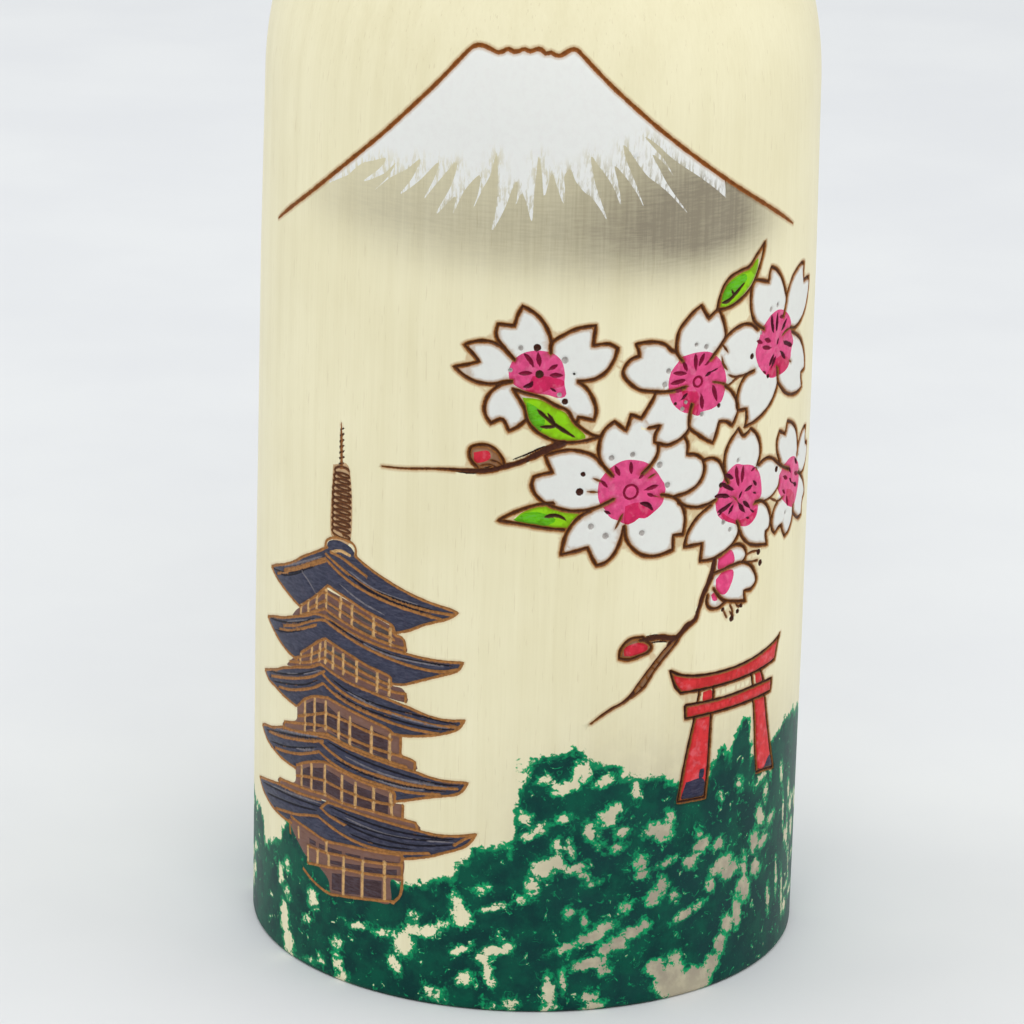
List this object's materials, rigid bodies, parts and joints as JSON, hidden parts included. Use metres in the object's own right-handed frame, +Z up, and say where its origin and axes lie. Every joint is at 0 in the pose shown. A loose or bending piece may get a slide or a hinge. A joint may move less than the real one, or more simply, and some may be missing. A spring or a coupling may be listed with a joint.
{
  "type": "kokeshi doll",
  "caption": "Turned wooden kokeshi doll: broad cylindrical body engraved and painted with mountain, blossom, pagoda and gate, round head with bobbed hair that turns on a wooden neck dowel.",
  "frame": {"origin": "Centre of the base, on the flat surface the doll stands on.", "axes": "+Z runs up the turning axis from the base to the crown. The face and the main decoration look towards -Y. +X is the doll's left hand side, the viewer's right."},
  "size_m": [0.06, 0.06, 0.171],
  "materials": {
    "body_wood": "pale turned wood, clear waxed, with engraved lines and painted decoration",
    "plug_wood": "bare pale wood, end grain showing",
    "dowel_wood": "bare turned wood, waxed",
    "head_wood": "pale turned wood, clear waxed, with a painted face",
    "hair_lacquer": "turned wood stained black, satin lacquer"
  },
  "bodies": {
    "standing_body": {"body": "body_wood", "base_plug": "plug_wood"},
    "turning_head": {"head": "head_wood", "hair_cap": "hair_lacquer", "neck_dowel": "dowel_wood"}
  },
  "joints": [
    {"name": "head_turn", "type": "hinge", "parent": "standing_body", "child": "turning_head", "pos_m": [0, 0, 0.122], "axis": [0, 0, 1], "continuous": true}
  ]
}
